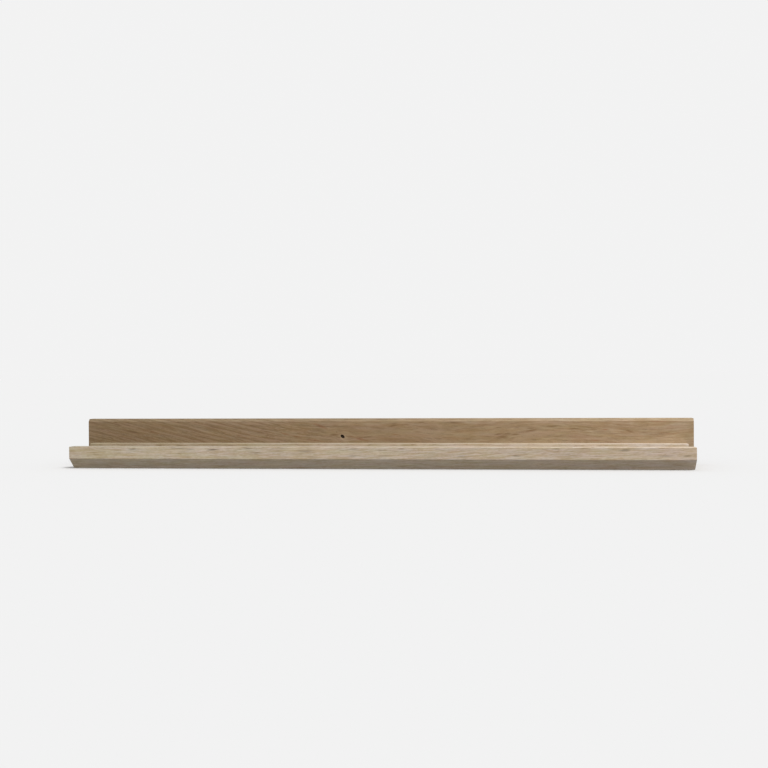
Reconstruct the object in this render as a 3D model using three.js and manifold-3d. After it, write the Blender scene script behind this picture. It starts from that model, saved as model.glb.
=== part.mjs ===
// A wall ledge for leaning pictures on. An oak tray, open at both ends, is screwed to the front of a longer
// oak back board, and two steel keyhole plates in the board's rear face hang it on the wall.
// Millimetres, +Z up, +X to the right along the ledge. The wall is the plane Y = 0 and the ledge stands out
// towards -Y, with the origin at the middle of the back board's rear face.

import * as THREE from 'three';
import { mergeVertices } from 'three/addons/utils/BufferGeometryUtils.js';
import Module from 'manifold-3d';

const wasm = await Module();
wasm.setup();

// Tray
const TRAY_LENGTH = 800;
const TRAY_HEIGHT = 28.5; // lip and rail alike, from the underside to the top edge
const TRAY_GAP = 60; // clear width of the floor between lip and rail
const LIP_THICKNESS = 18;
const RAIL_THICKNESS = 18;
const BASE_THICKNESS = 18;
const BEVEL_HEIGHT = 13; // long bevel on the lip's lower front
const BEVEL_LAND = 1; // flat left under the lip behind the bevel

// Back board
const BACK_THICKNESS = 18;
const BACK_HEIGHT = 61;
const BACK_OVERHANG = 9; // how far the board runs past the tray at each end
const CHAMFER_HEIGHT = 3.5; // along the board's top front edge
const CHAMFER_DEPTH = 3.5;

// Softened edges
const LONG_ARRIS = 0.8; // radius along the boards
const END_ARRIS = 0.6; // radius round the sawn ends
const ARRIS_STEPS = 3;

// Pin knot in the back board's face, a shallow dark pit
const KNOT_FROM_LEFT = 355; // from the board's left end
const KNOT_ABOVE_TRAY = 8.7; // above the top of the tray
const KNOT_LENGTH = 4.5;
const KNOT_WIDTH = 3;
const KNOT_DEPTH = 1.2;
const KNOT_TILT = 35; // degrees, falling to the right

// Dowels, in the lip at each joint station and in the rail midway between stations
const STATION_COUNT = 5;
const STATION_END_DISTANCE = 50; // from the tray's end to the first station
const DOWEL_DIAMETER = 6;
const DOWEL_LENGTH = 30;
const DOWEL_CHAMFER = 0.8;
const DOWEL_COVER = 3; // wood between the dowel and the tray's floor
const BEVEL_COVER = 4; // wood between the dowel's socket and the bevel
const RAIL_SOCKET = 10; // length of dowel in the rail

// Assembly screws, one at each station, through the back board into the rail
const SCREW_RISE = 12; // above the underside
const SCREW_COVER = 6; // wood in front of the screw's point
const SCREW_DIAMETER = 4;
const SCREW_HEAD_DIAMETER = 8;
const SCREW_POINT = 5;
const SCREW_RECESS_SPAN = 4.6; // cross recess in the head
const SCREW_RECESS_WIDTH = 1;
const SCREW_RECESS_DEPTH = 1.5;
const HEAD_RIM = 0.3; // straight edge of a countersunk head

// Keyhole plates, 600 apart on the 818 board
const HANGER_END_DISTANCE = 109; // from the board's end to the plate's middle
const HANGER_TOP_MARGIN = 5; // from the board's top edge to the plate
const HANGER_WIDTH = 16;
const HANGER_HEIGHT = 38;
const HANGER_THICKNESS = 1.5;
const ENTRY_DIAMETER = 9; // round mouth of the keyhole
const ENTRY_DROP = 2.5; // its centre below the plate's middle
const SLOT_WIDTH = 4.6;
const SLOT_RISE = 5; // centre of the slot's top end above the plate's middle
const POCKET_WIDTH = 11; // hollow behind the keyhole for the wall screw's head
const POCKET_DEPTH = 6;

// Screws of the keyhole plates
const PLATE_SCREW_END_DISTANCE = 5; // from the plate's end to the screw's axis
const PLATE_SCREW_DIAMETER = 3.5;
const PLATE_SCREW_LENGTH = 12;
const PLATE_SCREW_HEAD_DIAMETER = 6.5;
const PLATE_SCREW_POINT = 4;
const PLATE_SCREW_RECESS_SPAN = 3.8;
const PLATE_SCREW_RECESS_WIDTH = 0.8;
const PLATE_SCREW_RECESS_DEPTH = 1.2;

const CLEARANCE = 0.3; // round every dowel, screw and plate in its wood
const CUT_OVERRUN = 1; // how far a cutter starts outside the face that it enters
const ROUND_SEGMENTS = 20;

const RIGHT_ANGLE = Math.PI / 2;

// Solids

function toSolid(geometry) {
  const bare = geometry.clone();
  bare.deleteAttribute('normal');
  bare.deleteAttribute('uv');
  const merged = mergeVertices(bare);
  const corners = merged.index.array;
  const triVerts = [];
  for (let i = 0; i < corners.length; i += 3) {
    const [a, b, c] = corners.slice(i, i + 3);
    if (a !== b && b !== c && c !== a) {
      triVerts.push(a, b, c);
    }
  }
  const vertProperties = merged.attributes.position.array;
  const mesh = new wasm.Mesh({ numProp: 3, vertProperties, triVerts: new Uint32Array(triVerts) });
  return new wasm.Manifold(mesh);
}

function toMesh(name, solid, finish) {
  const { vertProperties, triVerts } = solid.getMesh();
  const shared = new THREE.BufferGeometry();
  shared.setAttribute('position', new THREE.BufferAttribute(vertProperties, 3));
  shared.setIndex(new THREE.BufferAttribute(triVerts, 1));
  const geometry = shared.toNonIndexed();
  geometry.computeVertexNormals();
  const mesh = new THREE.Mesh(geometry, new THREE.MeshStandardMaterial(finish));
  mesh.name = name;
  return mesh;
}

function cutAll(solid, cutters) {
  return cutters.reduce((rest, cutter) => rest.subtract(cutter), solid);
}

// A round piece along Y. The profile lists [radius, y] from its far end up to its near end.
function turned(profile) {
  const points = profile.map(([radius, y]) => new THREE.Vector2(radius, y));
  return toSolid(new THREE.LatheGeometry(points, ROUND_SEGMENTS));
}

// A flat piece drawn in X and Z, whose rear face lies at Y = rear and which is depth thick towards -Y.
function slab(shape, depth, rear = 0) {
  const options = { depth, bevelEnabled: false, curveSegments: ROUND_SEGMENTS / 2 };
  const geometry = new THREE.ExtrudeGeometry(shape, options);
  geometry.rotateX(RIGHT_ANGLE);
  geometry.translate(0, rear, 0);
  return toSolid(geometry);
}

// An upright outline with round ends, given by its width and the heights of its two end centres.
function roundEnded(width, low, high) {
  const shape = new THREE.Shape();
  shape.absarc(0, high, width / 2, 0, Math.PI);
  shape.absarc(0, low, width / 2, Math.PI, 2 * Math.PI);
  shape.closePath();
  return shape;
}

// Boards

// The cross-section of a board, drawn in Y and Z and running anticlockwise as seen from +X. Each corner gives
// its place, whether its long arris is softened, and whether the side that starts there is softened at the
// board's ends. A side glued to its neighbour stays square, so that the joint closes.
function corner(y, z, eased, openSide) {
  return { at: new THREE.Vector2(y, z), eased, openSide };
}

// Where the line through p along d crosses the line through q along e.
function crossing(p, d, q, e) {
  const gap = q.clone().sub(p);
  const along = gap.cross(e) / d.cross(e);
  return p.clone().addScaledVector(d, along);
}

// The section with its open sides moved in by inset, and its softened corners rounded.
function insetSection(corners, inset) {
  const sides = corners.map(({ at, openSide }, i) => {
    const next = corners[(i + 1) % corners.length].at;
    const direction = next.clone().sub(at).normalize();
    const inward = new THREE.Vector2(-direction.y, direction.x);
    return { direction, start: at.clone().addScaledVector(inward, openSide ? inset : 0) };
  });
  return corners.flatMap(({ eased }, i) => {
    const before = sides[(i + sides.length - 1) % sides.length];
    const after = sides[i];
    const point = crossing(before.start, before.direction, after.start, after.direction);
    if (!eased) {
      return [point];
    }
    const turn = Math.acos(before.direction.dot(after.direction));
    const radius = Math.max(LONG_ARRIS - inset, LONG_ARRIS / 8);
    const tangent = radius * Math.tan(turn / 2);
    const from = point.clone().addScaledVector(before.direction, -tangent);
    const to = point.clone().addScaledVector(after.direction, tangent);
    return new THREE.QuadraticBezierCurve(from, point, to).getPoints(ARRIS_STEPS);
  });
}

// A board along X, centred on X = 0, with softened arrises and ends.
function board(corners, length) {
  const leftEnd = Array.from({ length: ARRIS_STEPS + 1 }, (_, i) => {
    const turn = (i / ARRIS_STEPS) * RIGHT_ANGLE;
    return {
      x: -length / 2 + END_ARRIS * (1 - Math.cos(turn)),
      inset: END_ARRIS * (1 - Math.sin(turn)),
    };
  });
  const rightEnd = leftEnd.map(({ x, inset }) => ({ x: -x, inset })).reverse();
  const sections = [...leftEnd, ...rightEnd].map(({ x, inset }) => ({
    x,
    points: insetSection(corners, inset),
  }));
  const count = sections[0].points.length;
  const positions = sections.flatMap(({ x, points }) => points.flatMap((p) => [x, p.x, p.y]));
  const faces = [];
  for (let ring = 0; ring + 1 < sections.length; ring++) {
    for (let k = 0; k < count; k++) {
      const a = ring * count + k;
      const b = ring * count + ((k + 1) % count);
      faces.push(a, b, b + count, a, b + count, a + count);
    }
  }
  const last = (sections.length - 1) * count;
  for (const [a, b, c] of THREE.ShapeUtils.triangulateShape(sections[0].points, [])) {
    faces.push(c, b, a, last + a, last + b, last + c);
  }
  const geometry = new THREE.BufferGeometry();
  geometry.setAttribute('position', new THREE.Float32BufferAttribute(positions, 3));
  geometry.setIndex(faces);
  return toSolid(geometry);
}

// Places along the tray

const stationPitch = (TRAY_LENGTH - 2 * STATION_END_DISTANCE) / (STATION_COUNT - 1);
const stations = Array.from(
  { length: STATION_COUNT },
  (_, i) => -TRAY_LENGTH / 2 + STATION_END_DISTANCE + i * stationPitch,
);
const betweenStations = stations.slice(1).map((x) => x - stationPitch / 2);

// The tray's own frame has its rear face at Y = 0 and its underside at Z = 0.
const railFront = -RAIL_THICKNESS;
const lipRear = railFront - TRAY_GAP;
const lipFront = lipRear - LIP_THICKNESS;

// Fixings

function dowel(extra = 0) {
  const radius = DOWEL_DIAMETER / 2 + extra;
  const far = -extra;
  const near = DOWEL_LENGTH + extra;
  return turned([
    [0, far],
    [radius - DOWEL_CHAMFER, far],
    [radius, far + DOWEL_CHAMFER],
    [radius, near - DOWEL_CHAMFER],
    [radius - DOWEL_CHAMFER, near],
    [0, near],
  ]);
}

// A countersunk screw along -Y, with the flat of its head at Y = 0.
function screwBody({ diameter, length, headDiameter, point }, extra = 0, over = 0) {
  const radius = diameter / 2 + extra;
  const headRadius = headDiameter / 2 + extra;
  const cone = (headDiameter - diameter) / 2;
  return turned([
    [0, -length - extra],
    [radius, -length + point],
    [radius, -HEAD_RIM - cone],
    [headRadius, -HEAD_RIM],
    [headRadius, over],
    [0, over],
  ]);
}

function screw(size, turn) {
  const { recessSpan, recessWidth, recessDepth } = size;
  const slots = [0, RIGHT_ANGLE].map((quarter) => {
    const slot = new THREE.BoxGeometry(recessSpan, 2 * recessDepth, recessWidth);
    slot.rotateY(turn + quarter);
    return toSolid(slot);
  });
  return cutAll(screwBody(size), slots);
}

const assemblyScrew = {
  diameter: SCREW_DIAMETER,
  length: BACK_THICKNESS + RAIL_THICKNESS - SCREW_COVER,
  headDiameter: SCREW_HEAD_DIAMETER,
  point: SCREW_POINT,
  recessSpan: SCREW_RECESS_SPAN,
  recessWidth: SCREW_RECESS_WIDTH,
  recessDepth: SCREW_RECESS_DEPTH,
};

const plateScrew = {
  diameter: PLATE_SCREW_DIAMETER,
  length: PLATE_SCREW_LENGTH,
  headDiameter: PLATE_SCREW_HEAD_DIAMETER,
  point: PLATE_SCREW_POINT,
  recessSpan: PLATE_SCREW_RECESS_SPAN,
  recessWidth: PLATE_SCREW_RECESS_WIDTH,
  recessDepth: PLATE_SCREW_RECESS_DEPTH,
};

const SCREW_TURN = 0.7; // radians between one screw's recess and the next, as a driver happens to leave them

// The dowels' axis lies a cover below the tray's floor. The lip's bevel leaves less wood lower down, so the
// socket there is measured from the bevel at the height of its lowest side.
const dowelRise = BASE_THICKNESS - DOWEL_COVER - DOWEL_DIAMETER / 2;
const socketLow = dowelRise - DOWEL_DIAMETER / 2 - CLEARANCE;
const lipWood = BEVEL_LAND + (LIP_THICKNESS - BEVEL_LAND) * Math.min(socketLow / BEVEL_HEIGHT, 1);
const lipSocket = lipWood - BEVEL_COVER;

const lipDowelPlaces = stations.map((x) => new THREE.Vector3(x, lipRear - lipSocket, dowelRise));
const railDowelPlaces = betweenStations.map(
  (x) => new THREE.Vector3(x, railFront + RAIL_SOCKET - DOWEL_LENGTH, dowelRise),
);
const screwPlaces = stations.map((x) => new THREE.Vector3(x, BACK_THICKNESS, SCREW_RISE));

function cutterAt(cutter, place) {
  return cutter.translate([place.x, place.y, place.z]);
}

const lipSockets = lipDowelPlaces.map((place) => cutterAt(dowel(CLEARANCE), place));
const railSockets = railDowelPlaces.map((place) => cutterAt(dowel(CLEARANCE), place));
const screwHoles = screwPlaces.map((place) =>
  cutterAt(screwBody(assemblyScrew, CLEARANCE, CUT_OVERRUN), place),
);

// Finishes

const paleOak = { color: '#b5a48d', roughness: 0.68, metalness: 0 };
const brownOak = { color: '#9b8265', roughness: 0.66, metalness: 0 };
const beech = { color: '#c9a57c', roughness: 0.7, metalness: 0 };
const zincSteel = { color: '#b9bcbe', roughness: 0.38, metalness: 1 };
const rolledSteel = { color: '#a9abac', roughness: 0.45, metalness: 1 };

// Front lip, with its long bevel. The inner face is glued to the base board lower down.
function frontLip() {
  const corners = [
    corner(lipRear - BEVEL_LAND, 0, true, true),
    corner(lipRear, 0, false, false),
    corner(lipRear, TRAY_HEIGHT, true, true),
    corner(lipFront, TRAY_HEIGHT, true, true),
    corner(lipFront, BEVEL_HEIGHT, true, true),
  ];
  return cutAll(board(corners, TRAY_LENGTH), lipSockets);
}

// Base board, the tray's floor, edge to edge between lip and rail.
function baseBoard() {
  const corners = [
    corner(lipRear, 0, false, true),
    corner(railFront, 0, false, false),
    corner(railFront, BASE_THICKNESS, false, true),
    corner(lipRear, BASE_THICKNESS, false, false),
  ];
  return cutAll(board(corners, TRAY_LENGTH), [...lipSockets, ...railSockets]);
}

// Rear rail, as high and as long as the lip, flat against the back board.
function rearRail() {
  const corners = [
    corner(railFront, 0, false, true),
    corner(0, 0, false, false),
    corner(0, TRAY_HEIGHT, false, true),
    corner(railFront, TRAY_HEIGHT, true, false),
  ];
  return cutAll(board(corners, TRAY_LENGTH), [...railSockets, ...screwHoles]);
}

// Back board, in a frame with its rear face at Y = 0 and its bottom edge, level with the tray's underside,
// at Z = 0.
const backLength = TRAY_LENGTH + 2 * BACK_OVERHANG;
const plateMiddle = BACK_HEIGHT - HANGER_TOP_MARGIN - HANGER_HEIGHT / 2;
const hangerPlaces = [-1, 1].map(
  (side) => new THREE.Vector3(side * (backLength / 2 - HANGER_END_DISTANCE), 0, plateMiddle),
);
const plateScrewOffset = HANGER_HEIGHT / 2 - PLATE_SCREW_END_DISTANCE;

function hangerOutline(extra = 0) {
  const endCentre = (HANGER_HEIGHT - HANGER_WIDTH) / 2;
  return roundEnded(HANGER_WIDTH + 2 * extra, -endCentre, endCentre);
}

// What the wood loses for one plate: a shallow seat, the pocket behind the keyhole and two pilot holes.
function hangerHousing() {
  const seat = slab(hangerOutline(CLEARANCE), HANGER_THICKNESS + CUT_OVERRUN, CUT_OVERRUN);
  const pocketShape = roundEnded(POCKET_WIDTH, -ENTRY_DROP, SLOT_RISE);
  const pocketDepth = HANGER_THICKNESS + POCKET_DEPTH;
  const pocket = slab(pocketShape, pocketDepth + CUT_OVERRUN, CUT_OVERRUN);
  return [-1, 1].reduce((housing, end) => {
    const pilot = screwBody(plateScrew, CLEARANCE, CUT_OVERRUN);
    return housing.add(pilot.translate([0, 0, end * plateScrewOffset]));
  }, seat.add(pocket));
}

function knotPit() {
  const pit = new THREE.SphereGeometry(1, ROUND_SEGMENTS / 2, ROUND_SEGMENTS / 4);
  pit.scale(KNOT_LENGTH / 2, KNOT_DEPTH, KNOT_WIDTH / 2);
  pit.rotateY(THREE.MathUtils.degToRad(KNOT_TILT));
  pit.translate(-backLength / 2 + KNOT_FROM_LEFT, -BACK_THICKNESS, TRAY_HEIGHT + KNOT_ABOVE_TRAY);
  return toSolid(pit);
}

function backBoard() {
  const front = -BACK_THICKNESS;
  const corners = [
    corner(front, 0, false, true),
    corner(0, 0, true, true),
    corner(0, BACK_HEIGHT, true, true),
    corner(front + CHAMFER_DEPTH, BACK_HEIGHT, true, true),
    corner(front, BACK_HEIGHT - CHAMFER_HEIGHT, true, true),
  ];
  const holes = screwHoles.map((hole) => hole.translate([0, -BACK_THICKNESS, 0]));
  const housings = hangerPlaces.map((place) => cutterAt(hangerHousing(), place));
  return cutAll(board(corners, backLength), [...holes, ...housings, knotPit()]);
}

// Keyhole plate, pressed from flat steel, countersunk for its screws.
function hangerPlate() {
  const entry = new THREE.CylinderGeometry(
    ENTRY_DIAMETER / 2,
    ENTRY_DIAMETER / 2,
    2 * (HANGER_THICKNESS + CUT_OVERRUN),
    ROUND_SEGMENTS,
  );
  entry.translate(0, 0, -ENTRY_DROP);
  const slotShape = roundEnded(SLOT_WIDTH, -ENTRY_DROP, SLOT_RISE);
  const slot = slab(slotShape, HANGER_THICKNESS + 2 * CUT_OVERRUN, CUT_OVERRUN);
  const countersinks = [-1, 1].map((end) =>
    screwBody(plateScrew, CLEARANCE, CUT_OVERRUN).translate([0, 0, end * plateScrewOffset]),
  );
  return cutAll(slab(hangerOutline(), HANGER_THICKNESS), [toSolid(entry), slot, ...countersinks]);
}

// Assembly

const tray = new THREE.Group();
tray.add(toMesh('front_lip', frontLip(), paleOak));
tray.add(toMesh('base_board', baseBoard(), paleOak));
tray.add(toMesh('rear_rail', rearRail(), paleOak));
lipDowelPlaces.forEach((place, i) => {
  const piece = toMesh(`lip_dowel_${i + 1}`, dowel(), beech);
  piece.position.copy(place);
  tray.add(piece);
});
railDowelPlaces.forEach((place, i) => {
  const piece = toMesh(`rail_dowel_${i + 1}`, dowel(), beech);
  piece.position.copy(place);
  tray.add(piece);
});
screwPlaces.forEach((place, i) => {
  const piece = toMesh(`assembly_screw_${i + 1}`, screw(assemblyScrew, i * SCREW_TURN), zincSteel);
  piece.position.copy(place);
  tray.add(piece);
});
tray.position.set(0, -BACK_THICKNESS, 0);

const back = new THREE.Group();
back.add(toMesh('back_board', backBoard(), brownOak));
['left', 'right'].forEach((side, i) => {
  const hanger = new THREE.Group();
  hanger.add(toMesh(`hanger_plate_${side}`, hangerPlate(), rolledSteel));
  ['lower', 'upper'].forEach((end, k) => {
    const turn = (2 * i + k + 0.5) * SCREW_TURN;
    const piece = toMesh(`plate_screw_${side}_${end}`, screw(plateScrew, turn), zincSteel);
    piece.position.set(0, 0, (2 * k - 1) * plateScrewOffset);
    hanger.add(piece);
  });
  hanger.position.copy(hangerPlaces[i]);
  back.add(hanger);
});

const ledge = new THREE.Group();
ledge.add(tray);
ledge.add(back);
ledge.position.set(0, 0, -BACK_HEIGHT / 2);

export default ledge;
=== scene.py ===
import math

import bpy
from mathutils import Matrix, Vector


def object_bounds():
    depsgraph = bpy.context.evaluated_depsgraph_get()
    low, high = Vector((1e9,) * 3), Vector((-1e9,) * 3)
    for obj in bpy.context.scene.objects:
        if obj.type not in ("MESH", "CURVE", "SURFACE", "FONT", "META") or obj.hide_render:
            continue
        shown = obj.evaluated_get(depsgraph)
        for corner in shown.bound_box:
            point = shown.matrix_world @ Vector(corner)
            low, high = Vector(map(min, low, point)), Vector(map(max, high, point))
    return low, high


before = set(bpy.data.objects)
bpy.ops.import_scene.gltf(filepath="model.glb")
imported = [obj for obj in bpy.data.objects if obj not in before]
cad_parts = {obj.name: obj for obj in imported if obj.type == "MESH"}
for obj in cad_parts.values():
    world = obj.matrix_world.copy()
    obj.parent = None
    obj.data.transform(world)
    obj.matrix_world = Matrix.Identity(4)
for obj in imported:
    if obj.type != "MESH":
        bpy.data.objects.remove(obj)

cad_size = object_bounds()


# Tray floor.
# A planed board of pale oak that the pictures stand on, between the lip and the rear rail.
# It is sawn nearly on the quarter, so its grain is fine and straight, and it is left without varnish.

class Tone:
    """A socket of a finish's nodes, written in expressions as a number that changes over the surface."""

    def __init__(self, tree, socket=None):
        self.tree = tree
        self.socket = socket

    def node(self, kind, settings=None, sockets=None, output=0):
        """Adds a node: its settings first, then the values or links of its sockets."""
        made = self.tree.nodes.new(kind)
        for setting, value in (settings or {}).items():
            setattr(made, setting, value)
        for name, value in (sockets or {}).items():
            if isinstance(value, Tone):
                self.tree.links.new(value.socket, made.inputs[name])
            else:
                made.inputs[name].default_value = value
        return Tone(self.tree, made.outputs[output] if made.outputs else None)

    def maths(self, operation, *values):
        return self.node("ShaderNodeMath", {"operation": operation}, dict(enumerate(values)))

    def __add__(self, other):
        return self.maths("ADD", self, other)

    def __sub__(self, other):
        return self.maths("SUBTRACT", self, other)

    def __rsub__(self, other):
        return self.maths("SUBTRACT", other, self)

    def __mul__(self, other):
        return self.maths("MULTIPLY", self, other)

    def __truediv__(self, other):
        return self.maths("DIVIDE", self, other)

    def __rtruediv__(self, other):
        return self.maths("DIVIDE", other, self)

    def __pow__(self, other):
        return self.maths("POWER", self, other)

    __radd__ = __add__
    __rmul__ = __mul__

    def times_plus(self, factor, more):
        """This tone times a factor, plus more."""
        return self.maths("MULTIPLY_ADD", self, factor, more)

    def rising(self, low, high):
        """0 up to low, 1 from high on, and a soft step between them."""
        return self.node(
            "ShaderNodeMapRange",
            {"interpolation_type": "SMOOTHSTEP"},
            {"Value": self, "From Min": low, "From Max": high},
        )

    def parts(self):
        """The three numbers of a place, in millimetres."""
        split = self.node("ShaderNodeSeparateXYZ", {}, {0: self})
        return [Tone(self.tree, out) * 1000 for out in split.socket.node.outputs]

    def clouds(self, along, across, around, detail=2.0, rough=0.5):
        """Soft noise from 0 to 1 over three numbers, each divided by the size of the clouds that way."""
        at = self.node("ShaderNodeCombineXYZ", {}, {0: along, 1: across, 2: around})
        return self.node(
            "ShaderNodeTexNoise",
            {"noise_dimensions": "3D", "normalize": True},
            {"Vector": at, "Scale": 1.0, "Detail": detail, "Roughness": rough},
        )

    def mixed(self, first, second, blend="MIX"):
        """The first colour where this tone is 0, the second where it is 1."""
        return self.node(
            "ShaderNodeMix",
            {"data_type": "RGBA", "blend_type": blend},
            {0: self, 6: first, 7: second},
            output=2,
        )

    def tinted(self, stain, amount=1.0):
        """This colour multiplied by a stain, by an amount from 0 to 1."""
        return self.node(
            "ShaderNodeMix",
            {"data_type": "RGBA", "blend_type": "MULTIPLY"},
            {0: amount, 6: self, 7: stain},
            output=2,
        )


def new_finish(name):
    """A material with nothing on it yet, and the place on the surface as its first tone."""
    material = bpy.data.materials.new(name)
    material.use_nodes = True
    material.node_tree.nodes.clear()
    place = Tone(material.node_tree).node("ShaderNodeTexCoord", output="Object")
    return material, place


def lay_on(material, colour, roughness, height, relief, dark_knot_and_pit_shade=None, **fixed):
    """Ends a finish: its colour, roughness and fine relief, in metres, go to one surface shader. fixed
    holds the shader's even settings. Where dark_knot_and_pit_shade is 1 the surface is a dull black,
    the knot's own dark wood together with painted shade that stands in for a deeper pit."""
    normal = colour.node("ShaderNodeBump", {}, {"Strength": 1.0, "Distance": relief, "Height": height})
    sockets = {"Base Color": colour, "Roughness": roughness, "Normal": normal}
    sockets.update({name.replace("_", " "): value for name, value in fixed.items()})
    shader = colour.node("ShaderNodeBsdfPrincipled", {}, sockets)
    # The dull near-black is the knot's own dark wood and also painted shade that stands in for the depth
    # of its pit.
    if dark_knot_and_pit_shade:
        dull = colour.node("ShaderNodeBsdfDiffuse", {}, {"Color": (0.012, 0.008, 0.006, 1)})
        shader = colour.node("ShaderNodeMixShader", {}, {0: dark_knot_and_pit_shade, 1: shader, 2: dull})
    colour.node("ShaderNodeOutputMaterial", {"target": "ALL"}, {"Surface": shader})
    return material


def shade(colour, red, green, blue):
    """A colour made lighter or darker, part by part, as a shader takes it."""
    return (colour[0] * red, colour[1] * green, colour[2] * blue, 1.0)


def round_knot(x, y, z, knot):
    """The height of the grain as it flows round a knot in a board's face, and masks of the knot's dark
    core, whose black is partly painted shade of its pit, and of the pale wood round it."""
    along, up = x - knot["along"], z - knot["height"]
    spread = knot["spread"] ** 2
    pushed = spread / (along * along * 0.3 + up * up + spread)
    fall = math.radians(knot["fall"])
    lengthways = (along * math.cos(fall) - up * math.sin(fall)) / (knot["length"] / 2)
    across = (along * math.sin(fall) + up * math.cos(fall)) / (knot["width"] / 2)
    off = (lengthways * lengthways + across * across) ** 0.5
    near_face = 1 - (y - knot["face"]).rising(0, 5)
    core = (1 - off.rising(1.1, 1.6)) * near_face
    halo = (1 - (off + up * 0.25 - along * 0.08).rising(0.9, 3.2)) * near_face
    return z - up * pushed * 0.9, core, halo


def spot(x, z, inward, along, height, half_length, half_width, climb, strength):
    """One long spot on a board's face: its strength in the middle, fading to 0 at its rim. climb is in
    degrees, upwards to the right. inward is the square of the depth in the wood, over a spot's own."""
    level, slope = math.cos(math.radians(climb)), math.sin(math.radians(climb))
    middle = -(along * level + height * slope) / half_length
    lengthways = x.times_plus(level / half_length, z.times_plus(slope / half_length, middle))
    middle = (along * slope - height * level) / half_width
    across = z.times_plus(level / half_width, x.times_plus(-slope / half_width, middle))
    off = across.times_plus(across, lengthways.times_plus(lengthways, inward)) ** 0.5
    return off.rising(0.1, 1.0).times_plus(-strength, strength)


def marked(colour, marks, x, y, z, broken):
    """A colour stained by its marks. Each kind of mark has a stain, the face that it lies on and a share
    of patchiness, and then its spots: along, height, half length, half width, climb and strength."""
    spot_depth = 8
    for kind, spots in marks:
        depth = (y - kind["face"]) / spot_depth
        inward = depth * depth
        found = spot(x, z, inward, *spots[0])
        for each in spots[1:]:
            found = found.maths("MAXIMUM", found, spot(x, z, inward, *each))
        found = found * broken.times_plus(kind["patchy"], 1 - kind["patchy"])
        colour = colour.tinted(kind["stain"], found)
    return colour


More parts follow.
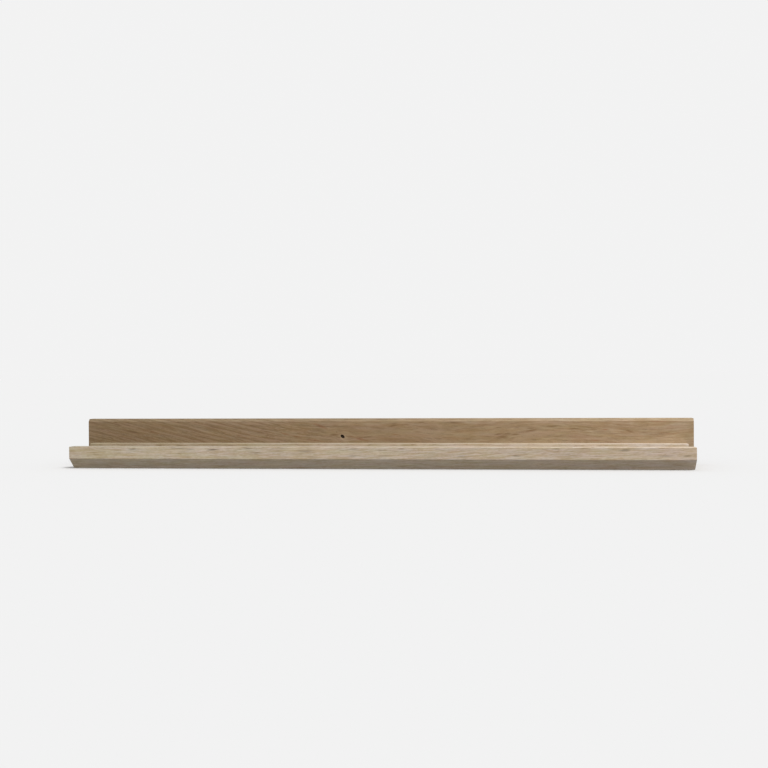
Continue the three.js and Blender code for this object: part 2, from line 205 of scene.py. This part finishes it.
def oak(
    name, seed, heart, growth, left, right,
    streak=(22, 0.9), grit=4.3, rings=0.5, bow=1.2, vigour=None, marks=(), knot=None, painted_top_light=None,
):
    """Bare oak, with a colour for each end. heart gives the depth and height of the tree's heart along
    the board, growth is the width of a year's ring, and streak the length and width of a streak, in
    millimetres. grit and rings are the strengths of the streaks and the rings, bow is how far the rings
    wander, and vigour gives the grain's strength along the board. painted_top_light holds painted
    light and shade for the faces that look up, a colour for each end, which makes the tops darker or
    lighter towards one end as if the light fell on them unevenly."""
    material, place = new_finish(name)
    x, y, z = place.parts()
    true_height = z
    if knot:
        z, core, halo = round_knot(x, y, z, knot)

    heart_depth, heart_height = heart(x)
    deep, high = y - heart_depth, z - heart_height
    bend = x.clouds(x / 110 + seed, y / 30, z / 30) - 0.5
    radius = (deep * deep + high * high) ** 0.5 + bend * bow
    usual_radius = 60
    around = high.maths("ARCTAN2", high, deep) * usual_radius

    def grain(length, width, breadth, detail=2.0, start=seed, rough=0.5):
        """Clouds drawn out along the grain, of a length, a width across the rings and one along them."""
        return x.clouds(x / length + start, radius / width, around / breadth, detail, rough)

    age = radius / growth + seed
    year = age.maths("FRACT", age)
    early = 1 - year.rising(0.0, 0.45)
    late = year.rising(0.45, 0.95)

    length, width = streak
    fibre = grain(length, width, width * 5, detail=4.0)
    speck = grain(4.5, 1.1, 3, detail=1.0)
    broad = grain(length * 3.5, width * 4, width * 12)
    slow = x.clouds(x / 160 + seed, y / 40, z / 22, detail=1.0)
    pores = grain(7, 0.34, 0.34, detail=1.0).rising(0.56, 0.72) * (early * 0.8 + 0.2)
    dash = grain(15, 0.62, 1.6, detail=1.0, start=-seed).rising(0.60, 0.70)
    ray = grain(9, 5, 0.5, detail=1.0).rising(0.62, 0.74)

    grown = (late - early) * broad.rising(0.3, 0.7) * rings
    lines = (fibre - 0.5) * grit + (speck - 0.5) * (grit * 0.35)
    if vigour:
        strength = vigour(x)
        mottle = grain(22, 4.6, 14)
        lines = lines * strength + (mottle - 0.5) * (1.1 - strength) * 2.3
        grown = grown * strength * strength
    tone = 0.5 + (lines + grown) + (broad - 0.5) * 0.9 + (slow - 0.5) * 0.8

    ledge_length = 818
    run = (x + ledge_length / 2) / ledge_length
    run = run * (run * 0.32 + 0.68)
    light, dark = (1.12, 1.15, 1.23), (0.86, 0.81, 0.70)
    lit = run.mixed(shade(left, *light), shade(right, *light))
    deepened = run.mixed(shade(left, *dark), shade(right, *dark))
    colour = tone.rising(-0.2, 1.2).mixed(deepened, lit)

    reddish, greenish = (1.028, 0.985, 0.985, 1), (0.982, 1.012, 1.012, 1)
    ruddiness = grain(28, 5, 12, detail=3.0, start=-seed, rough=0.6).rising(0.3, 0.7)
    colour = colour.tinted(ruddiness.mixed(reddish, greenish))
    bleached, straw = (1, 1, 1.03, 1), (1, 1, 0.90, 1)
    yellowness = x.clouds(x / 50 - seed, y / 8, z / 7, detail=3.0, rough=0.55).rising(0.3, 0.7)
    colour = colour.tinted(yellowness.mixed(bleached, straw))
    pore_stain, dash_stain = (0.30, 0.20, 0.12, 1), (0.50, 0.40, 0.30, 1)
    sawn_stain, knot_pale, white = (0.60, 0.52, 0.46, 1), (0.56, 0.46, 0.32, 1), (1, 1, 1, 1)
    colour = colour.tinted(pore_stain, pores * 0.45)
    colour = colour.tinted(dash_stain, dash * 0.55)
    colour = (ray * 0.10).mixed(colour, white, "SOFT_LIGHT")
    if marks:
        broken = x.clouds(x / 14 - seed, y / 4, z / 2.2).rising(0.28, 0.55)
        colour = marked(colour, marks, x, y, true_height + (fibre - 0.5) * 4, broken)
    if knot:
        colour = (halo * 0.16).mixed(colour, knot_pale)

    facing = place.node("ShaderNodeNewGeometry", output="Normal")
    endways = facing.node("ShaderNodeSeparateXYZ", {}, {0: facing}, "X")
    # Painted light and shade on the faces that look up: their colour is multiplied by a tint that runs
    # from one end to the other, so the tops look darker at one end and lighter at the other as if lit
    # unevenly.
    if painted_top_light:
        upward = facing.node("ShaderNodeSeparateXYZ", {}, {0: facing}, "Z")
        colour = colour.tinted(run.mixed(*painted_top_light), upward.rising(0.3, 0.75))
    sawn = endways.maths("ABSOLUTE", endways).rising(0.6, 0.9)
    colour = colour.tinted(sawn_stain, sawn * 0.5)

    roughness = 0.58 + (fibre - 0.5) * 0.2 + pores * 0.12
    height = 0.5 - pores * 0.5 + (fibre - 0.5) * 0.35
    # The knot's core turns dull black: partly its own dark wood, partly painted shade of a pit deeper
    # than the modelled one.
    return lay_on(material, colour, roughness, height, relief=0.00022, dark_knot_and_pit_shade=core if knot else None)


def floor_heart(x):
    """The heart lies far to the front, so the rings stand upright and line the top finely."""
    return -290 + x * 0.012, -96 - x * 0.01


def finish_node(name, material):
    """Puts a finish on one of the frame's own solids."""
    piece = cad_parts[name]
    piece.data.materials.clear()
    piece.data.materials.append(material)
    return piece


PALE_LEFT, PALE_RIGHT = (0.437, 0.363, 0.268), (0.469, 0.373, 0.281)

finish_node(
    "base_board",
    oak("floor_oak", seed=3.7, heart=floor_heart, growth=1.9, left=PALE_LEFT, right=PALE_RIGHT),
)


# Rear rail.
# The tray's back edge, pale oak like the lip and glued to the back of the floor over four dowels.
# Only its top edge and a sliver of its face show above the lip.

finish_node(
    "rear_rail",
    oak(
        "rail_oak", seed=11.3, heart=floor_heart, growth=1.8,
        left=(0.285, 0.229, 0.152), right=(0.533, 0.441, 0.362),
        # Painted shade on the rail's top at the left end and painted light at the right end.
        grit=3.0, rings=0.35, painted_top_light=((0.95, 0.97, 0.97, 1), (1.08, 1.10, 1.12, 1)),
    ),
)


# Front lip.
# The tray's front board, pale straight-grained oak with a deep bevel planed off its lower front edge.
# It is glued to the front of the floor over five dowels, and its arrises are softened with sandpaper.

LIP_FACE = -114


def lip_heart(x):
    """The heart lies far below, so the lines are fine. They are level at the left end and then climb."""
    return -40 + x * 0.006, -190 + x.rising(-350, 850) * 60


lip_flecks = (
    {"stain": (0.22, 0.19, 0.15, 1), "face": LIP_FACE, "patchy": 0.1},
    (
        (-208, -5.3, 11, 1.4, 3, 1.0),
        (-88, -7.0, 16, 1.2, 1, 0.6),
        (313, -6.1, 10, 1.2, 2, 0.7),
        (-153, -9.1, 12, 1.1, -5, 0.4),
        (12, -5.8, 12, 1.1, 2, 0.55),
        (17, -12.5, 12, 1.0, 1, 0.4),
        (-253, -3.4, 13, 1.1, -1, 0.7),
        (-162, -3.9, 9, 1.2, 0, 0.6),
        (-119, -3.2, 8, 0.9, 0, 0.35),
        (388, -12.6, 8, 1.5, 2, 0.5),
        (111, -12.9, 9, 1.3, 0, 0.5),
        (-25, -4.4, 10, 1.3, 0, 0.5),
        (-314, -4.8, 9, 1.3, 0, 0.55),
        (-238, -4.6, 9, 1.3, 0, 0.5),
        (-27, -13.2, 9, 1.3, 0, 0.5),
        (180, -12.8, 9, 1.3, 0, 0.5),
        (362, -12.4, 14, 1.3, 0, 0.4),
        (36, -4.3, 8, 1.2, 0, 0.4),
        (229, -4.2, 9, 1.2, 0, 0.4),
        (82, -4.2, 8, 1.2, 0, 0.35),
        (279, -12.6, 12, 1.2, 1, 0.35),
    ),
)
lip_blooms = (
    {"stain": (1.14, 1.16, 1.24, 1), "face": LIP_FACE, "patchy": 0.5},
    (
        (-324, -8.0, 9, 7.0, 0, 0.6),
        (-285, -9.0, 7, 6.0, 0, 0.25),
        (-223, -8.0, 9, 8.0, 0, 0.8),
        (-218, -12.6, 9, 2.5, 0, 0.7),
        (-63, -4.5, 9, 1.5, 0, 0.8),
        (-195, -7.1, 8, 2.5, 0, 0.7),
        (-134, -3.2, 9, 1.5, 0, 0.8),
        (-110, -7.0, 9, 2.0, 0, 0.6),
        (-84, -10.8, 9, 2.0, 0, 0.7),
        (-14, -11.0, 8, 3.0, 0, 0.6),
        (39, -15.0, 10, 1.5, 0, 0.7),
        (59, -11.8, 9, 1.5, 0, 0.6),
        (131, -9.8, 12, 1.8, 0, 0.9),
        (193, -3.7, 10, 1.5, 0, 0.8),
        (208, -14.6, 10, 1.5, 0, 0.7),
        (290, -3.5, 14, 1.4, 0, 0.8),
        (332, -7.5, 10, 1.5, 4, 0.7),
        (-104, -13.2, 18, 2.6, 0, 1.0),
        (-267, -13.6, 9, 1.6, 0, 0.7),
        (-321, -12.8, 8, 1.6, 0, 0.6),
        (342, -3.6, 10, 1.3, 0, 0.6),
        (113, -3.9, 8, 1.3, 0, 0.5),
    ),
)
finish_node(
    "front_lip",
    oak(
        "lip_oak", seed=7.1, heart=lip_heart, growth=1.7, left=PALE_LEFT, right=PALE_RIGHT,
        streak=(26, 0.95), grit=4.5, bow=0.6, marks=[lip_flecks, lip_blooms],
        # Painted shade darkens the lip's top strongly at the left end, and painted light brightens it at
        # the right end.
        painted_top_light=((0.66, 0.67, 0.65, 1), (1.16, 1.19, 1.25, 1)),
    ),
)


# Dowels.
# Beech dowels, glued into the lip, the rail and the floor board, and hidden once the tray is together.
# They are cut from smooth rod, and their ends are chamfered so that they start in their holes.

def beech():
    """Plain beech with its small dark flecks. A dowel's grain runs along it, from front to back."""
    material, place = new_finish("dowel_beech")
    x, y, z = place.parts()
    fibre = x.clouds(y / 18, x / 0.8, z / 0.8, detail=3.0)
    fleck = x.clouds(y / 1.6, x / 0.35, z / 0.35, detail=0.0).rising(0.62, 0.72)
    dark, pale, brown = (0.50, 0.31, 0.17, 1), (0.64, 0.44, 0.27, 1), (0.30, 0.15, 0.07, 1)
    colour = (fibre * 1.4 - 0.2).mixed(dark, pale)
    colour = (fleck * 0.5).mixed(colour, brown)
    return lay_on(material, colour, 0.55 + (fibre - 0.5) * 0.2, fibre, relief=0.0001)


dowel_finish = beech()
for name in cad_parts:
    if "dowel" in name:
        finish_node(name, dowel_finish)


# Back board.
# A flat-sawn board of browner oak, longer than the tray, with a chamfer along its top front edge.
# Its grain falls to the right, flows round one pin knot, and rises again right of the middle.

BOARD_FACE = -18


def falling_heart(x):
    """The heart sinks towards the right, so the lines fall, and it wavers right of the middle."""
    sway = x.maths("SINE", (x - 170) / 36) * x.rising(-60, 70)
    return BOARD_FACE - 34 - 30 * x.rising(-400, 0), -12 - 94 * x.rising(-700, -60) + 2.6 * sway


def calm_middle(x):
    """The streaks are strong at the left, faint in the middle and moderate towards the right end."""
    return 1.1 - 0.92 * x.rising(-170, 20) + 0.24 * x.rising(110, 220)


brown_streaks = (
    {"stain": (0.60, 0.50, 0.36, 1), "face": BOARD_FACE, "patchy": 0.45},
    (
        (160, 5.9, 12, 2.9, 10, 0.9),
        (155, 9.7, 8, 2.0, 8, 0.8),
        (167, 9.7, 9, 2.1, 4, 0.7),
        (178, 9.1, 9, 1.8, 7, 0.9),
        (195, 13.7, 17, 2.4, 10, 0.95),
        (198, 18.1, 10, 1.7, 7, 0.6),
        (225, 19.8, 12, 1.7, 4, 0.9),
        (254, 16.6, 10, 0.9, 2, 0.9),
        (280, 16.1, 7, 0.9, -1, 0.7),
        (326, 13.5, 9, 2.1, -15, 0.8),
        (339, 19.7, 10, 1.2, 0, 0.4),
        (-66, 8.9, 9, 2.0, -2, 1.0),
        (-62, 12.8, 1.6, 1.2, 0, 1.0),
        (14, 20.7, 8, 1.7, 8, 0.6),
        (31, 22.7, 11, 1.5, 3, 0.8),
        (52, 25.6, 9, 1.2, 0, 0.8),
        (96, 25.1, 20, 1.8, 0, 1.0),
        (344, 12.3, 9, 1.5, -5, 0.7),
        (358, 8.6, 9, 1.4, -3, 0.6),
        (-199, 3.1, 10, 1.5, -8, 0.5),
        (-354, 18.6, 12, 1.2, -7, 0.5),
        (-347, 12.7, 12, 1.4, -12, 0.7),
        (-377, 4.7, 6, 1.0, -26, 0.8),
        (-287, 11.3, 13, 1.3, -12, 0.95),
        (-230, 18.5, 19, 1.5, -12, 0.6),
        (-169, 21.2, 13, 1.8, -14, 0.7),
        (400, 6.5, 8, 2.4, 0, 0.5),
        (-49, 3.2, 9, 1.3, -8, 0.5),
        (48, 12.6, 9, 1.6, -5, 0.35),
        (91, 9.9, 9, 1.6, 0, 0.35),
        (-174, 3.3, 9, 1.3, -14, 0.4),
        (-79, 11.5, 8, 1.4, -12, 0.35),
    ),
)
reddish_streaks = (
    {"stain": (0.85, 0.64, 0.52, 1), "face": BOARD_FACE, "patchy": 0.5},
    (
        (-84, 20.6, 15, 3.0, -19, 1.0),
        (-118, 6.6, 12, 1.6, -12, 0.9),
        (-93, 1.6, 15, 1.5, -4, 0.9),
        (-42, 6.7, 5, 1.3, -11, 1.0),
        (-28, 2.7, 17, 1.9, -12, 0.9),
        (17, 9.4, 8, 1.8, -6, 0.8),
        (282, 1.0, 9, 1.3, 2, 0.9),
        (295, 16.0, 7, 1.2, 3, 0.9),
        (381, 11.0, 20, 0.8, 1, 0.7),
        (369, 26.0, 45, 1.0, 0, 0.7),
        (-314, 12.0, 10, 1.3, -11, 0.8),
        (-191, 5.9, 14, 1.3, -16, 0.9),
        (-132, 9.9, 10, 1.5, -12, 0.9),
    ),
)
pale_patches = (
    {"stain": (1.28, 1.34, 1.48, 1), "face": BOARD_FACE, "patchy": 0.5},
    (
        (4, 24.6, 13, 1.8, 2, 1.0),
        (29, 17.3, 9, 1.5, -9, 0.8),
        (54, 21.9, 12, 2.0, 0, 1.0),
        (218, 3.4, 12, 1.6, 0, 0.9),
        (277, 13.9, 10, 1.5, -3, 0.9),
        (308, 12.5, 9, 1.5, -6, 0.9),
        (378, 3.4, 13, 1.6, 0, 0.8),
        (-220, 24.8, 10, 1.5, -8, 0.9),
        (-56, 3.2, 7, 1.3, 0, 0.7),
        (380, 7.6, 11, 1.2, -4, 0.8),
        (312, 9.3, 8, 1.0, -14, 0.6),
        (392, 0.9, 19, 1.0, 1, 0.8),
        (-356, 21.0, 15, 1.4, -10, 0.5),
        (-319, 16.5, 16, 1.4, -11, 0.5),
        (-248, 14.7, 23, 1.1, -13, 0.6),
        (0, 24.2, 700, 3.0, 0, 0.35),
        (237, 9.4, 10, 1.8, 0, 0.9),
        (358, 24.3, 16, 1.4, 0, 0.7),
        (91, 21.6, 10, 1.4, 0, 0.7),
        (337, 3.4, 11, 1.4, 0, 0.7),
        (47, 3.2, 10, 1.4, 0, 0.6),
        (-299, 3.1, 8, 1.3, -12, 0.5),
        (-212, 3.1, 8, 1.3, -12, 0.5),
    ),
)
pin_knot = {
    "along": -54, "height": 6.7, "face": BOARD_FACE,
    "length": 4.5, "width": 3.0, "fall": 35, "spread": 6,
}
finish_node(
    "back_board",
    oak(
        "board_oak", seed=1.9, heart=falling_heart, growth=5.3,
        left=(0.184, 0.121, 0.062), right=(0.352, 0.250, 0.150),
        streak=(28, 1.7), grit=5.6, rings=1.1, bow=4.5, vigour=calm_middle,
        marks=[brown_streaks, reddish_streaks, pale_patches], knot=pin_knot,
        # Painted shade on the board's upward faces at the left end, fading out towards the right end.
        painted_top_light=((0.88, 0.90, 0.88, 1), (0.98, 1.0, 1.03, 1)),
    ),
)


# Keyhole plates and their screws.
# Pressed steel plates with dull zinc plating, let in flush with the board's rear face over pockets.
# Each is held by two countersunk screws, and hangs on a wall screw that enters by its round mouth.

def plated_steel(name, colour, roughness, scratch_size):
    """Zinc plating with a cloudy bloom and scratches of a width and a height, in millimetres."""
    material, place = new_finish(name)
    x, y, z = place.parts()
    wide, high = scratch_size
    bloom = x.clouds(x / 3, y / 3, z / 3, detail=3.0)
    scratch = x.clouds(x / wide, y / 0.5, z / high)
    light, dull = shade(colour, 1.16, 1.17, 1.20), shade(colour, 0.72, 0.70, 0.66)
    tinted = (bloom * 2.0 + scratch * 0.6 - 0.8).mixed(dull, light)
    roughness = roughness + (bloom - 0.5) * 0.5 + (scratch - 0.5) * 0.2
    return lay_on(material, tinted, roughness, scratch, relief=0.00006, Metallic=1.0)


plate_finish = plated_steel(
    "dull_zinc", colour=(0.42, 0.43, 0.44), roughness=0.42, scratch_size=(0.25, 6)
)
screw_finish = plated_steel(
    "bright_zinc", colour=(0.56, 0.57, 0.58), roughness=0.30, scratch_size=(1.2, 0.2)
)
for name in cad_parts:
    if name.startswith("hanger_plate"):
        finish_node(name, plate_finish)
    if name.startswith("plate_screw"):
        finish_node(name, screw_finish)


# Assembly screws.
# Five countersunk wood screws, zinc plated, driven from the board's rear face into the rear rail.
# Their heads lie flush, each with its cross recess turned as the driver left it.

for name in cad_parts:
    if name.startswith("assembly_screw"):
        finish_node(name, screw_finish)


# Floor, light and camera.
# The ledge is shown on a plain pale floor under soft light from above, in front and to the right.

def seen_directly(tone):
    """1 for what the camera sees, also by a reflection or through glass, and 0 for light on things."""
    seen, mirrored, through = (
        tone.node("ShaderNodeLightPath", output=ray)
        for ray in ("Is Camera Ray", "Is Glossy Ray", "Is Transmission Ray")
    )
    return tone.maths("MAXIMUM", seen, tone.maths("MAXIMUM", mirrored, through))


def plain_floor():
    """A pale floor that keeps the ledge's shadow. The ledge gets only an even, weaker glow from it."""
    tone, glow_strength = 0.62, 0.45
    material, place = new_finish("floor")
    shown = place.node("ShaderNodeBsdfDiffuse", {}, {"Color": (tone, tone, tone, 1)})
    glow = place.node("ShaderNodeEmission", {}, {"Color": (1, 1, 1, 1), "Strength": glow_strength})
    surface = place.node("ShaderNodeMixShader", {}, {0: seen_directly(place), 1: glow, 2: shown})
    place.node("ShaderNodeOutputMaterial", {}, {"Surface": surface})
    return material


lowest = cad_size[0][2]
reach = 60
corners = [(-reach, -reach), (reach, -reach), (reach, reach), (-reach, reach)]
floor_mesh = bpy.data.meshes.new("floor")
floor_mesh.from_pydata([(x, y, lowest) for x, y in corners], [], [(0, 1, 2, 3)])
floor_mesh.materials.append(plain_floor())
floor = bpy.data.objects.new("floor", floor_mesh)
bpy.context.scene.collection.objects.link(floor)

world = bpy.data.worlds.new("studio")
bpy.context.scene.world = world
world.use_nodes = True
world.node_tree.nodes.clear()
room = Tone(world.node_tree)
light_strength, seen_brighter = 0.70, 0.19
sky_strength = light_strength + seen_directly(room) * seen_brighter
sky = room.node("ShaderNodeBackground", {}, {"Color": (1, 1, 1, 1), "Strength": sky_strength})
room.node("ShaderNodeOutputWorld", {}, {"Surface": sky})

towards_lamp = Vector((0.40, -0.42, 0.81))
lamp = bpy.data.lights.new("key", "SUN")
lamp.energy = 2.83
lamp.angle = math.radians(25)
key = bpy.data.objects.new("key", lamp)
bpy.context.scene.collection.objects.link(key)
key.rotation_euler = towards_lamp.to_track_quat("Z", "Y").to_euler()

standpoint = Vector((0.1947, -1.6399, 0.0899))
yaw, pitch, roll = (math.radians(angle) for angle in (6.7556, -0.4508, -0.3355))
ahead = Vector((-math.sin(yaw) * math.cos(pitch), math.cos(yaw) * math.cos(pitch), math.sin(pitch)))
level = Vector((math.cos(yaw), math.sin(yaw), 0))
upright = level.cross(ahead)
right = level * math.cos(roll) + upright * math.sin(roll)
above = upright * math.cos(roll) - level * math.sin(roll)
lens = bpy.data.cameras.new("camera")
lens.sensor_width = 36
lens.lens = 57.04
camera = bpy.data.objects.new("camera", lens)
bpy.context.scene.collection.objects.link(camera)
aim = Matrix((right, above, -ahead)).transposed().to_4x4()
camera.matrix_world = Matrix.Translation(standpoint) @ aim
bpy.context.scene.camera = camera
bpy.context.scene.view_settings.view_transform = "Standard"
